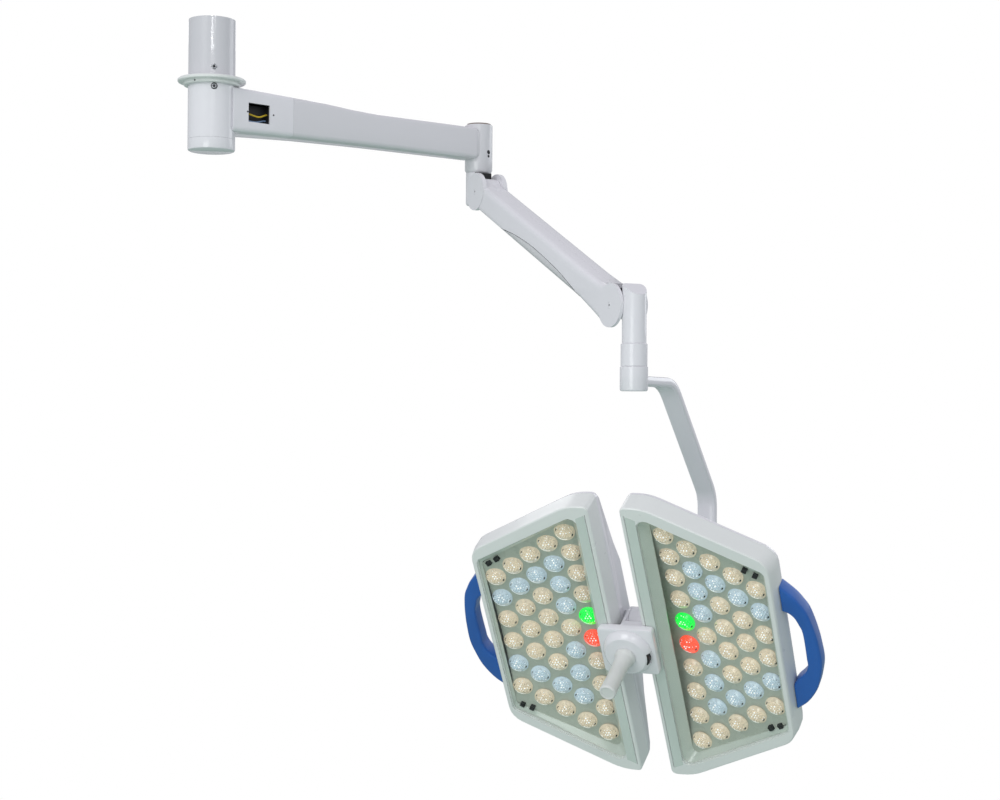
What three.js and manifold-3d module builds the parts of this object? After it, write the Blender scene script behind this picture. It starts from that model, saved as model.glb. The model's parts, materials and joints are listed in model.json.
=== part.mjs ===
// Ceiling-held surgical light: drop tube, horizontal arm, spring arm, C-shaped yoke and a twin-module lamp head.
// Millimetres, +Z up. The origin is the centre of the drop tube's top end, and +X runs along the horizontal arm.
import * as THREE from 'three';
import { mergeVertices } from 'three/addons/utils/BufferGeometryUtils.js';
import Module from 'manifold-3d';

const wasm = await Module();
wasm.setup();

// ---------------------------------------------------------------- driving dimensions
const GAP = 0.3; // clearance between touching pieces

const TUBE = { radius: 44, wall: 4, bottom: -118 };
const HUB = { radius: 44.5, top: -119.5, seam: -226, bottom: -247.8, bore: 32 };
const ARM = { length: 630, seamX: 159, wall: 4, corner: 8 };
const ELBOW = { radius: 29, top: -131.3, bottom: -232, bore: 17 };
const KNUCKLE = { reach: 40, pivotZ: -276.8, postRadius: 26.5, cheekRadius: 39, slotHalf: 19.8 };
const SPRING_ARM = { length: 607, halfWidth: 28.5, top: 21.5, bottom: -31, corner: 10, wall: 2.5, discRadius: 40 };
const LINK_OFFSET = 15; // levelling rod pivots this far above the arm pivots
const END = { postRadius: 22, top: 38, sleeveRadius: 24, cupRadius: 25.2 };
const SLEEVE = { top: -612.9, bottom: -653.6 };
const CUP = { top: -654, bottom: -698 };
const YOKE = {
  width: 38, hubWidth: 32, thickness: 18, topZ: -679.5, reach: 434, hubRadius: 30, bendRadius: 100, taperEnd: 200,
};
const TILT_PIVOT = { back: 51, z: -1118.5 };
const SPINE = { radius: 18, bore: 13, halfLength: 48 };

const REST = { elbow: -100, pitch: 26, yoke: -62, tilt: 30 }; // degrees
const rad = THREE.MathUtils.degToRad;

const MODULE = {
  inner: 29, outer: 275, innerHalf: 312, outerHalf: 189, endHalf: 292, front: 67, flange: 61, split: 22, flare: 6, wall: 3,
};
const RIM_RADII = { end: 9, shoulder: 90, outer: 36 };
const SLOPE = (MODULE.innerHalf - MODULE.outerHalf) / (MODULE.outer - MODULE.inner);
const LENS = { pitch: 50, columnStep: 38, firstColumn: 91.5, radius: 19.5, innerColumnCount: 10, columns: 5 };
const DISH = { base: 3.5, slope: 0.156, radius: 1042, thickness: 3 };

// ---------------------------------------------------------------- materials
function finish(color, roughness, metalness = 0) {
  return new THREE.MeshStandardMaterial({ color, roughness, metalness });
}
const whitePaint = finish(0xe9e8ee, 0.25);
const bezelWhite = finish(0xe4e8e6, 0.35);
const steel = finish(0xb8bcc0, 0.3, 1);
const darkSteel = finish(0x2b2d30, 0.4, 1);
const bronze = finish(0xb08a4f, 0.4, 1);
const aluminium = finish(0xc9ccd0, 0.35, 1);
const blackPlastic = finish(0x111214, 0.45);
const bluePlastic = finish(0x1f55b5, 0.4);
const clearPane = finish(0xdfe8e4, 0.05);
const lensClear = finish(0xf2ead2, 0.1);
const handleWhite = finish(0xe2e2e0, 0.45);
const capBrown = finish(0x7a6a60, 0.6);
const yellowJacket = finish(0xe0c02a, 0.5);
const blueJacket = finish(0x5b7fb8, 0.5);

// ---------------------------------------------------------------- solids
function solid(geometry) {
  const bare = geometry.clone();
  bare.deleteAttribute('normal');
  bare.deleteAttribute('uv');
  const merged = mergeVertices(bare, 1e-4);
  const position = merged.attributes.position;
  const corner = (i) => new THREE.Vector3().fromBufferAttribute(position, i);
  const triangles = [];
  let volume = 0;
  for (let i = 0; i < merged.index.count; i += 3) {
    const [a, b, c] = [0, 1, 2].map((k) => merged.index.getX(i + k));
    if (a === b || b === c || c === a) continue;
    triangles.push([a, b, c]);
    volume += corner(a).dot(corner(b).cross(corner(c)));
  }
  const order = volume < 0 ? ([a, b, c]) => [a, c, b] : (t) => t;
  return new wasm.Manifold(new wasm.Mesh({
    numProp: 3,
    vertProperties: Float32Array.from(position.array),
    triVerts: Uint32Array.from(triangles.flatMap(order)),
  }));
}

const join = (...pieces) => pieces.reduce((whole, piece) => whole.add(piece));
const cut = (base, ...tools) => tools.reduce((rest, tool) => rest.subtract(tool), base);

function box(x0, x1, y0, y1, z0, z1) {
  const geometry = new THREE.BoxGeometry(x1 - x0, y1 - y0, z1 - z0);
  return solid(geometry.translate((x0 + x1) / 2, (y0 + y1) / 2, (z0 + z1) / 2));
}

// A body of revolution about Z through (x, y); the profile is a list of [radius, z] that closes on itself.
function turned(profile, x = 0, y = 0, segments = 28) {
  const points = [...profile, profile[0]].map(([r, z]) => new THREE.Vector2(r, z));
  const geometry = new THREE.LatheGeometry(points, segments).rotateX(Math.PI / 2);
  return solid(geometry.translate(x, y, 0));
}

const rod = (radius, z0, z1, x = 0, y = 0, segments = 20) =>
  turned([[0, z0], [radius, z0], [radius, z1], [0, z1]], x, y, segments);
const ring = (outer, inner, z0, z1, x = 0, y = 0, segments = 24) =>
  turned([[inner, z0], [outer, z0], [outer, z1], [inner, z1]], x, y, segments);

// A rod along Y (or X) through the point, between two stations on that axis.
function rodAlongY(radius, y0, y1, x, z, segments = 20) {
  const geometry = new THREE.CylinderGeometry(radius, radius, y1 - y0, segments);
  return solid(geometry.translate(x, (y0 + y1) / 2, z));
}
function rodAlongX(radius, x0, x1, y = 0, z = 0, segments = 28) {
  const geometry = new THREE.CylinderGeometry(radius, radius, x1 - x0, segments).rotateZ(Math.PI / 2);
  return solid(geometry.translate((x0 + x1) / 2, y, z));
}

// A closed skin over a row of rings that all have the same number of points.
function skin(rings) {
  const count = rings[0].length;
  const positions = rings.flat().flatMap((p) => [p.x, p.y, p.z]);
  const index = [];
  for (let r = 0; r + 1 < rings.length; r += 1) {
    for (let i = 0; i < count; i += 1) {
      const j = (i + 1) % count;
      const [a, b, c, d] = [r * count + i, r * count + j, (r + 1) * count + j, (r + 1) * count + i];
      index.push(a, b, c, a, c, d);
    }
  }
  const last = (rings.length - 1) * count;
  for (let i = 1; i + 1 < count; i += 1) {
    index.push(0, i + 1, i);
    index.push(last, last + i, last + i + 1);
  }
  const geometry = new THREE.BufferGeometry();
  geometry.setAttribute('position', new THREE.Float32BufferAttribute(positions, 3));
  geometry.setIndex(index);
  return solid(geometry);
}

// Points of a polygon with rounded corners; corners are [x, y], or [x, y, radius] where one differs from the rest.
function roundedOutline(corners, commonRadius, steps = 4) {
  return corners.flatMap(([x, y, radius = commonRadius], i) => {
    const here = new THREE.Vector2(x, y);
    const before = new THREE.Vector2(...corners.at(i - 1).slice(0, 2)).sub(here).normalize();
    const after = new THREE.Vector2(...corners[(i + 1) % corners.length].slice(0, 2)).sub(here).normalize();
    const half = Math.acos(THREE.MathUtils.clamp(before.dot(after), -1, 1)) / 2;
    const centre = before.clone().add(after).normalize().multiplyScalar(radius / Math.sin(half)).add(here);
    const start = before.clone().multiplyScalar(radius / Math.tan(half)).add(here).sub(centre);
    const turn = (Math.PI - 2 * half) * Math.sign(after.cross(before));
    return Array.from({ length: steps + 1 }, (_, k) =>
      start.clone().rotateAround(new THREE.Vector2(), (turn * k) / steps).add(centre));
  });
}

const rectangle = (x0, x1, y0, y1) => [[x0, y0], [x1, y0], [x1, y1], [x0, y1]];

// A prism of an outline drawn in XY, between two heights.
function prism(points, z0, z1, bevel = 0) {
  const shape = new THREE.Shape(points);
  const geometry = new THREE.ExtrudeGeometry(shape, {
    depth: z1 - z0 - 2 * bevel,
    bevelEnabled: bevel > 0,
    bevelThickness: bevel,
    bevelSize: bevel,
    bevelOffset: -bevel,
    bevelSegments: 2,
    curveSegments: 6,
  });
  return solid(geometry.translate(0, 0, z0 + bevel));
}

// The same prism with the outline drawn in XZ and the depth along Y.
function prismAlongY(points, y0, y1) {
  const shape = new THREE.Shape(points);
  const geometry = new THREE.ExtrudeGeometry(shape, { depth: y1 - y0, bevelEnabled: false });
  return solid(geometry.rotateX(Math.PI / 2).translate(0, y1, 0));
}

const circle = (radius, x = 0, y = 0, steps = 24) =>
  Array.from({ length: steps }, (_, k) => new THREE.Vector2(
    x + radius * Math.cos((2 * Math.PI * k) / steps),
    y + radius * Math.sin((2 * Math.PI * k) / steps),
  ));

// A round bar through chosen points.
function cord(points, radius, steps, sides = 8) {
  const path = new THREE.CatmullRomCurve3(points.map((p) => new THREE.Vector3(...p)));
  const shape = new THREE.Shape(circle(radius, 0, 0, sides));
  return solid(new THREE.ExtrudeGeometry(shape, { steps, extrudePath: path }));
}

// A screw that points at the Z axis of a hub, with its socket outward.
function radialScrew(angle, z, face, head, shank, depth, x = 0) {
  const profile = [
    [0, face - depth], [shank, face - depth], [shank, face - 5], [head, face - 5], [head, face],
    [head * 0.5, face], [head * 0.5, face - 3], [0, face - 3],
  ];
  const points = [...profile].map(([r, s]) => new THREE.Vector2(r, s));
  const geometry = new THREE.LatheGeometry(points, 12).rotateZ(-Math.PI / 2);
  return solid(geometry.rotateZ(rad(angle)).translate(x, 0, z));
}
function radialHole(angle, z, from, to, radius, x = 0) {
  const geometry = new THREE.CylinderGeometry(radius, radius, to - from, 12).rotateZ(-Math.PI / 2);
  return solid(geometry.translate((from + to) / 2, 0, 0).rotateZ(rad(angle)).translate(x, 0, z));
}

function mesh(name, body, material) {
  const result = body.getMesh();
  const geometry = new THREE.BufferGeometry();
  geometry.setAttribute('position', new THREE.Float32BufferAttribute(result.vertProperties, 3));
  geometry.setIndex(new THREE.Uint32BufferAttribute(result.triVerts, 1));
  geometry.computeVertexNormals();
  const piece = new THREE.Mesh(geometry, material);
  piece.name = name;
  return piece;
}

function placed(group, { x = 0, y = 0, z = 0 }, rotation = {}) {
  group.position.set(x, y, z);
  group.rotation.set(rotation.x ?? 0, rotation.y ?? 0, rotation.z ?? 0);
  return group;
}

// ---------------------------------------------------------------- ceiling end: tube, flange, spindle, trim
const SCREW_ANGLE = -112; // the visible screws face the front of the light
const TUBE_SCREW_Z = -95;
const SPINDLE_RADIUS = 20;

function ceilingEnd() {
  const group = new THREE.Group();
  const tube = ring(TUBE.radius, TUBE.radius - TUBE.wall, TUBE.bottom, 0, 0, 0, 36);
  const screwAngles = [SCREW_ANGLE, SCREW_ANGLE + 180];
  const headHoles = screwAngles.map((angle) => radialHole(angle, TUBE_SCREW_Z, 36, 48, 5.8));
  group.add(mesh('drop_tube', cut(tube, ...headHoles), whitePaint));

  const flange = ring(39.7, 18, -10, 0, 0, 0, 32);
  const boltHoles = [45, 135, 225, 315].map(rad).map((a) => rod(4.5, -11, 1, 29 * Math.cos(a), 29 * Math.sin(a), 16));
  group.add(mesh('mounting_flange', cut(flange, ...boltHoles), steel));

  const spindle = turned([
    [11, -72], [39.6, -72], [39.6, -112], [SPINDLE_RADIUS, -112], [SPINDLE_RADIUS, -222], [11, -222],
  ], 0, 0, 32);
  const shankHoles = screwAngles.flatMap((angle) => [
    radialHole(angle, TUBE_SCREW_Z, 24, 42, 3.5),
    radialHole(angle, TUBE_SCREW_Z, 36, 42, 5.8),
  ]);
  group.add(mesh('ceiling_spindle', cut(spindle, ...shankHoles), steel));
  screwAngles.forEach((angle, i) => {
    group.add(mesh(`tube_screw_${i + 1}`, radialScrew(angle, TUBE_SCREW_Z, TUBE.radius + 0.6, 5.4, 3, 18), steel));
  });

  const trim = turned([
    [44.9, -125], [51.9, -125], [53.4, -123.6], [53.4, -118.5], [62.6, -118.5], [64, -117], [64, -113.4],
    [62.6, -112], [44.9, -112],
  ], 0, 0, 36);
  group.add(mesh('trim_ring', cut(trim, radialHole(-154, -121.6, 44, 60, 2)), bezelWhite));
  group.add(mesh('trim_ring_screw', radialHole(-154, -121.6, 45.2, 52.8, 1.7), darkSteel));

  group.add(mesh('hub_bearing_upper', ring(31.7, 20.3, -142, -128), steel));
  group.add(mesh('hub_bearing_lower', ring(31.7, 20.3, -214, -200), steel));
  const nut = cut(rod(27, -221.5, -214.5, 0, 0, 6), rod(SPINDLE_RADIUS + GAP, -225, -210, 0, 0, 32));
  group.add(mesh('spindle_nut', nut, steel));
  return group;
}

// ---------------------------------------------------------------- horizontal arm
// Stations of the arm: distance from the tube axis, top and bottom height, and width.
const ARM_STATIONS = [
  [24, -127, -211, 84], [70, -128, -209.5, 79], [125, -129.5, -208, 71], [185, -131.3, -206.5, 64],
  [240, -133.5, -206, 60], [300, -138, -205.3, 57.5], [356, -140.5, -205, 56], [480, -140.5, -205, 55],
  [606, -140.5, -205, 54],
];

function armRing([x, top, bottom, width], inset, atX = x) {
  const half = width / 2 - inset;
  const outline = roundedOutline(rectangle(-half, half, bottom + inset, top - inset), ARM.corner - inset / 2, 3);
  return outline.map((p) => new THREE.Vector3(atX, p.x, p.y));
}

function armStationAt(x) {
  const next = ARM_STATIONS.findIndex((station) => station[0] >= x);
  const [a, b] = [ARM_STATIONS[Math.max(next - 1, 0)], ARM_STATIONS[next]];
  const share = b === a ? 0 : (x - a[0]) / (b[0] - a[0]);
  return a.map((value, k) => value + share * (b[k] - value));
}

function armLoft(from, to, inset = 0) {
  const between = ARM_STATIONS.filter(([x]) => x > from && x < to);
  return skin([armStationAt(from), ...between, armStationAt(to)].map((station) => armRing(station, inset)));
}

const WINDOW = { x0: 57, x1: 105, z0: -190, z1: -154 };
const ELBOW_SCREW_ANGLE = -80;
const ELBOW_SCREWS = [[-190, 3.5], [-198, 2.5]]; // height and radius

function horizontalArm() {
  const group = new THREE.Group();
  const hub = turned([[0, HUB.seam], [HUB.radius, HUB.seam], [HUB.radius, HUB.top], [0, HUB.top]], 0, 0, 36);
  const casting = cut(
    join(hub, armLoft(24, ARM.seamX)),
    rod(HUB.bore, HUB.seam - 1, HUB.top + 1, 0, 0, 40),
    armLoft(26, ARM.seamX - 12, ARM.wall),
    skin([ARM.seamX - 14, ARM.seamX + 1].map((x) => armRing(armStationAt(ARM.seamX - 12), ARM.wall, x))),
    box(WINDOW.x0, WINDOW.x1, -60, -20, WINDOW.z0, WINDOW.z1),
    radialHole(SCREW_ANGLE, -131.5, 30, 46, 5.8),
  );
  group.add(mesh('hub_casting', casting, whitePaint));
  group.add(mesh('hub_brake_screw', radialScrew(SCREW_ANGLE, -131.5, HUB.radius + 0.6, 5.4, 3, 11), darkSteel));
  group.add(mesh('hub_cap', turned([
    [0, HUB.bottom], [HUB.radius - 3, HUB.bottom], [HUB.radius - 0.8, HUB.bottom + 1.2],
    [HUB.radius, HUB.bottom + 3.5], [HUB.radius, HUB.seam - GAP], [HUB.bore - 0.4, HUB.seam - GAP],
    [HUB.bore - 0.4, HUB.seam + 3], [HUB.bore - 5, HUB.seam + 3], [HUB.bore - 5, HUB.seam - 4], [0, HUB.seam - 4],
  ], 0, 0, 36), whitePaint));

  const elbowPost = turned([
    [0, ELBOW.bottom], [ELBOW.radius - 3, ELBOW.bottom], [ELBOW.radius, ELBOW.bottom + 5],
    [ELBOW.radius, ELBOW.top - 1], [ELBOW.radius - 1, ELBOW.top], [0, ELBOW.top],
  ], ARM.length, 0, 32);
  const fairing = skin([
    armRing([596, -140.5, -205, 54], 0), armRing([612, -143, -203, 50], 0), armRing([630, -150, -198, 40], 0),
  ]);
  const arm = cut(
    join(armLoft(ARM.seamX + GAP, 606), fairing, elbowPost),
    armLoft(ARM.seamX + 20, 600, ARM.wall),
    skin([ARM.seamX - 1, ARM.seamX + 22].map((x) => armRing(armStationAt(ARM.seamX + 22), ARM.wall, x))),
    rod(ELBOW.bore, ELBOW.bottom - 1, ELBOW.top - 6, ARM.length, 0),
    rod(26.5, ELBOW.top - 3, ELBOW.top + 1, ARM.length, 0),
    box(590, 618, -12, 12, -195, -150),
    ...ELBOW_SCREWS.map(([z, radius]) => radialHole(ELBOW_SCREW_ANGLE, z, 20, 31, radius + GAP, ARM.length)),
  );
  group.add(mesh('horizontal_arm', arm, whitePaint));
  ELBOW_SCREWS.forEach(([z, radius], i) => {
    const screw = radialHole(ELBOW_SCREW_ANGLE, z, 20.5, 29, radius, ARM.length);
    group.add(mesh(`elbow_set_screw_${i + 1}`, screw, darkSteel));
  });
  group.add(mesh('elbow_cap', turned([
    [0, ELBOW.top - 2.7], [26, ELBOW.top - 2.7], [26, ELBOW.top + 1.8], [24.6, ELBOW.top + 3], [0, ELBOW.top + 3],
  ], ARM.length, 0, 28), capBrown));
  group.add(mesh('elbow_bush_upper', ring(16.7, 12.2, -172, -152, ARM.length), bronze));
  group.add(mesh('elbow_bush_lower', ring(16.7, 12.2, -226, -206, ARM.length), bronze));

  group.add(mesh('cable_yellow', cord([
    [38, 4, -162], [54, -14, -166], [70, -26, -174], [86, -28, -177], [104, -25, -171], [130, -12, -167],
    [180, -4, -170], [300, 4, -174], [450, 4, -174], [560, 3, -172], [600, 2, -168],
  ], 2, 34, 6), yellowJacket));
  group.add(mesh('cable_blue', cord([
    [38, 12, -174], [58, -12, -182], [80, -24, -187], [104, -20, -182], [140, -6, -183], [200, -10, -186],
    [350, -8, -188], [500, -8, -188], [600, -6, -184],
  ], 2, 30, 6), blueJacket));
  return group;
}

// ---------------------------------------------------------------- elbow knuckle at the spring arm's root
function rootKnuckle() {
  const group = new THREE.Group();
  const { reach, pivotZ, postRadius, cheekRadius, slotHalf } = KNUCKLE;
  const top = ELBOW.bottom - 0.5;
  const half = SPRING_ARM.halfWidth;
  const post = turned([
    [0, -301], [postRadius - 5, -301], [postRadius - 1.5, -299.5], [postRadius, -296], [postRadius, top], [0, top],
  ], 0, 0, 32);
  const web = box(6, reach, -half + 3, half - 3, -300, -250);
  const cheek = join(rodAlongY(cheekRadius, -half, half, reach, pivotZ, 36), web);
  const knuckle = cut(
    join(post, cheek),
    box(22, reach + cheekRadius + 1, -slotHalf, slotHalf, pivotZ - 50, pivotZ + 50),
    rodAlongY(6.3, -half - 1, half + 1, reach, pivotZ),
    rodAlongY(2.8, -half + 4, half - 4, reach, pivotZ + LINK_OFFSET, 20),
    rod(12.2, -262, top + 1),
  );
  group.add(mesh('root_knuckle', knuckle, whitePaint));
  group.add(mesh('elbow_spindle', ring(11.9, 6, -261.5, -146), steel));
  group.add(mesh('root_pin', rodAlongY(6, -half + 1.5, half - 1.5, reach, pivotZ), steel));
  group.add(mesh('link_pin_root', rodAlongY(2.5, -half + 4.5, half - 4.5, reach, pivotZ + LINK_OFFSET, 16), steel));
  return group;
}

// ---------------------------------------------------------------- spring arm; X runs from pivot to pivot
const SPRING = { from: 114, to: 415, z: -9, radius: 9, wire: 2, turns: 9 };
const FRAME = { inner: 16, outer: 19, endRadius: 11, low: -24 };
const NOSE = { radius: 28, halfWidth: 19.3, endAngle: 107.4 };

class Helix extends THREE.Curve {
  getPoint(t, target = new THREE.Vector3()) {
    const angle = 2 * Math.PI * SPRING.turns * t;
    const x = SPRING.from + 2 + (SPRING.to - SPRING.from - 4) * t;
    return target.set(x, SPRING.radius * Math.cos(angle), SPRING.z + SPRING.radius * Math.sin(angle));
  }
}

function springArmCasing() {
  const { length, halfWidth, top, bottom, corner, wall, discRadius } = SPRING_ARM;
  const bar = (inset, from, to) => {
    const limits = [-halfWidth + inset, halfWidth - inset, bottom + inset, top - inset];
    const outline = roundedOutline(rectangle(...limits), corner - inset / 2, 3);
    return skin([from, to].map((x) => outline.map((p) => new THREE.Vector3(x, p.x, p.y))));
  };
  const neckRing = (x, low, high) =>
    roundedOutline(rectangle(-halfWidth, halfWidth, low, high), corner, 3).map((p) => new THREE.Vector3(x, p.x, p.y));
  const neck = skin([
    neckRing(length - 110, bottom, top),
    neckRing(length - 52, bottom - 5, top + 2),
    neckRing(length - 30, bottom - 7.5, top + 9),
    neckRing(length - 6, bottom - 8.8, top + 16),
  ]);
  const disc = rodAlongY(discRadius, -halfWidth, halfWidth, length, 0, 36);
  const body = cut(
    join(bar(0, 10, length - 20), neck, disc),
    bar(wall, 0, length - 20),
    box(length - 40, length + 50, -22.4, 22.4, -50, 50),
    rodAlongY(KNUCKLE.cheekRadius + 1, -40, 40, 0, 0, 36),
    rodAlongY(6.3, -40, 40, length, 0),
  );
  return join(body, springArmNose());
}

// The curved nose that closes the slot between the root knuckle's cheeks; it turns with the arm.
function springArmNose() {
  const { top, wall } = SPRING_ARM;
  const arc = (radius) => [55, 65, 75, 85, 96, NOSE.endAngle].map((angle) =>
    new THREE.Vector2(radius * Math.cos(rad(angle)), radius * Math.sin(rad(angle))));
  const straight = (z) => [60, 38, 24].map((x) => new THREE.Vector2(x, z));
  const inside = [...straight(top - wall), ...arc(NOSE.radius - wall)];
  const outline = [...straight(top), ...arc(NOSE.radius), ...inside.reverse()];
  return prismAlongY(outline, -NOSE.halfWidth, NOSE.halfWidth);
}

function springArm() {
  const group = new THREE.Group();
  const { length, halfWidth } = SPRING_ARM;
  const casing = springArmCasing();
  const seam = [
    [128, -60], [132, -30.5], [201, -18], [278, -12], [346, -12.5], [412, -16], [464, -23], [500, -30.5], [504, -60],
  ];
  const coverBlock = prismAlongY(seam.map(([x, z]) => new THREE.Vector2(x, z)), -40, 40);
  const wider = seam.map(([x, z], i) => new THREE.Vector2(x + (i < 2 ? -GAP : i > 6 ? GAP : 0), z + GAP));
  const shells = cut(casing, prismAlongY(wider, -41, 41));
  const halves = { left: [-60, -GAP / 2], right: [GAP / 2, 60] };
  Object.entries(halves).forEach(([side, [y0, y1]]) => {
    group.add(mesh(`spring_arm_shell_${side}`, shells.intersect(box(-50, length + 60, y0, y1, -60, 60)), whitePaint));
  });
  group.add(mesh('spring_arm_lower_cover', casing.intersect(coverBlock), whitePaint));

  const { inner, outer, endRadius, low } = FRAME;
  const side = new THREE.Shape();
  side.moveTo(0, endRadius);
  side.lineTo(length, endRadius);
  side.absarc(length, 0, endRadius, Math.PI / 2, -Math.PI / 2, true);
  side.lineTo(length - 60, low);
  side.lineTo(60, low);
  side.lineTo(0, -endRadius);
  side.absarc(0, 0, endRadius, -Math.PI / 2, Math.PI / 2, true);
  const sidePoints = side.getPoints(6).slice(0, -1);
  const walls = [[-outer, -inner], [inner, outer]].map(([y0, y1]) => prismAlongY(sidePoints, y0, y1));
  const frame = cut(
    join(
      ...walls,
      box(70, length - 70, -inner - 1, inner + 1, low, low + 3),
      box(SPRING.from - 5, SPRING.from - 1, -inner - 1, inner + 1, low + 1, 3),
      box(SPRING.to + 1, SPRING.to + 5, -inner - 1, inner + 1, low + 1, 3),
    ),
    rodAlongY(6.3, -40, 40, 0, 0),
    rodAlongY(6.3, -40, 40, length, 0),
  );
  group.add(mesh('spring_arm_frame', frame, steel));
  const wire = new THREE.Shape(circle(SPRING.wire, 0, 0, 4));
  const coil = new THREE.ExtrudeGeometry(wire, { steps: SPRING.turns * 8, extrudePath: new Helix() });
  group.add(mesh('balance_spring', solid(coil), darkSteel));
  group.add(mesh('spring_guide_rod', rodAlongX(5, SPRING.from - 0.6, SPRING.to + 0.6, 0, SPRING.z, 16), steel));
  group.add(mesh('end_pin', rodAlongY(6, -halfWidth + 1.5, halfWidth - 1.5, length, 0), steel));
  return group;
}

// ---------------------------------------------------------------- levelling rod, parallel to the spring arm
function levellingRod() {
  const group = new THREE.Group();
  const { length } = SPRING_ARM;
  const eyes = [0, length].map((x) => rodAlongY(6, -4, 4, x, 0, 24));
  const bores = [0, length].map((x) => rodAlongY(2.8, -5, 5, x, 0, 20));
  group.add(mesh('levelling_rod', cut(join(rodAlongX(3, 4, length - 4, 0, 0, 12), ...eyes), ...bores), steel));
  return group;
}

// ---------------------------------------------------------------- end knuckle; its origin is the arm's far pivot
function endKnuckle(pivotZ) {
  const group = new THREE.Group();
  const axis = KNUCKLE.reach;
  const { postRadius, top, sleeveRadius } = END;
  const bottom = SLEEVE.top + GAP - pivotZ;
  const post = turned([
    [0, bottom], [postRadius, bottom], [postRadius, top - 4], [postRadius - 1.5, top - 1.2], [postRadius - 5, top],
    [0, top],
  ], axis, 0, 32);
  const slant = prismAlongY([
    new THREE.Vector2(axis - 8, top + 1), new THREE.Vector2(axis + 23, top - 22), new THREE.Vector2(axis + 30, top - 22),
    new THREE.Vector2(axis + 30, top + 1),
  ], -30, 30);
  const knuckle = cut(
    join(
      cut(post, slant),
      box(0, axis - 10, -15.7, 15.7, -12, 10),
      rodAlongY(12, -15.7, 15.7, 0, 0),
      rodAlongY(6, -12, 12, 0, LINK_OFFSET, 24),
      box(-6, 6, -12, 12, 4, LINK_OFFSET),
    ),
    box(-20, 16, -5.3, 5.3, 6, 40),
    rodAlongY(6.3, -20, 20, 0, 0),
    rod(10.5, bottom - 1, -14, axis, 0),
  );
  const linkStud = rodAlongY(2.5, -8, 8, 0, LINK_OFFSET, 16);
  group.add(mesh('end_knuckle', join(knuckle, linkStud), whitePaint));
  const sleeve = turned([
    [14, SLEEVE.bottom], [sleeveRadius - 0.5, SLEEVE.bottom], [sleeveRadius, SLEEVE.bottom + 0.5],
    [sleeveRadius, SLEEVE.top - 1], [sleeveRadius - 1, SLEEVE.top], [14, SLEEVE.top],
  ], axis, 0, 32);
  const bush = ring(13.7, 9.6, SLEEVE.bottom + 1, SLEEVE.top - 1, axis);
  const lifted = new THREE.Group();
  lifted.position.z = -pivotZ;
  lifted.add(mesh('lock_sleeve', sleeve, whitePaint), mesh('end_bush', bush, bronze));
  group.add(lifted);
  return group;
}

// ---------------------------------------------------------------- yoke; X is the tilt axis, Y runs backward
function yokeCentreLine() {
  const low = TILT_PIVOT.z;
  const corners = [
    [12, YOKE.topZ], [180, YOKE.topZ], [YOKE.reach, -902], [YOKE.reach, low], [YOKE.taperEnd, low],
    [TILT_PIVOT.back, low],
  ];
  const radii = [0, YOKE.bendRadius, 60, 85, 0, 0];
  return corners.flatMap(([y, z], i) => {
    if (radii[i] === 0) return [new THREE.Vector2(y, z)];
    const here = new THREE.Vector2(y, z);
    const before = new THREE.Vector2(...corners[i - 1]).sub(here).normalize();
    const after = new THREE.Vector2(...corners[i + 1]).sub(here).normalize();
    const half = Math.acos(before.dot(after)) / 2;
    const reach = radii[i] / Math.tan(half);
    const bend = new THREE.QuadraticBezierCurve(
      before.clone().multiplyScalar(reach).add(here), here, after.clone().multiplyScalar(reach).add(here));
    return bend.getPoints(6);
  });
}

function yoke() {
  const group = new THREE.Group();
  const line = yokeCentreLine();
  const halfThick = YOKE.thickness / 2;
  const bar = skin(line.map((point, i) => {
    const ahead = line[Math.min(i + 1, line.length - 1)].clone().sub(line[Math.max(i - 1, 0)]).normalize();
    const half = (i < line.length - 2 ? YOKE.width : YOKE.hubWidth) / 2;
    const section = roundedOutline(rectangle(-half, half, -halfThick, halfThick), 5, 2);
    return section.map((p) => new THREE.Vector3(p.x, point.x - ahead.y * p.y, point.y + ahead.x * p.y));
  }));
  const { back, z } = TILT_PIVOT;
  const hub = rodAlongX(YOKE.hubRadius, -YOKE.hubWidth / 2, YOKE.hubWidth / 2, back, z, 32);
  const cupHole = rod(END.cupRadius + GAP, CUP.bottom - 5, CUP.top + 5, 0, 0, 40);
  const shaped = cut(join(bar, hub), cupHole, rodAlongX(21.5, -20, 20, back, z));
  group.add(mesh('yoke_bar', shaped, whitePaint));
  const bush = cut(rodAlongX(21.2, -15.5, 15.5, back, z), rodAlongX(SPINE.radius + 0.3, -20, 20, back, z));
  group.add(mesh('tilt_bush', bush, bronze));
  group.add(mesh('yoke_cup', turned([
    [0, CUP.bottom], [22.2, CUP.bottom], [24.2, CUP.bottom + 0.9], [END.cupRadius, CUP.bottom + 3.2],
    [END.cupRadius, CUP.top - 0.8], [END.cupRadius - 0.8, CUP.top], [9.4, CUP.top], [9.4, CUP.bottom + 8],
    [0, CUP.bottom + 8],
  ], 0, 0, 32), whitePaint));
  group.add(mesh('yoke_spindle', rod(9.1, CUP.bottom + 8.3, -565), steel));
  return group;
}

// ---------------------------------------------------------------- lamp head; X is the tilt axis, Z faces the patient
const PLATE = { halfX: 52, halfY: 48, back: 67.6, front: 84 };
const MOUNT = { front: 99, baseRadius: 46, faceRadius: 38 };
const BUTTON = { y0: -17, y1: 5, z0: 86, z1: 96.5, x0: 27, x1: 43.4 };

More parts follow.
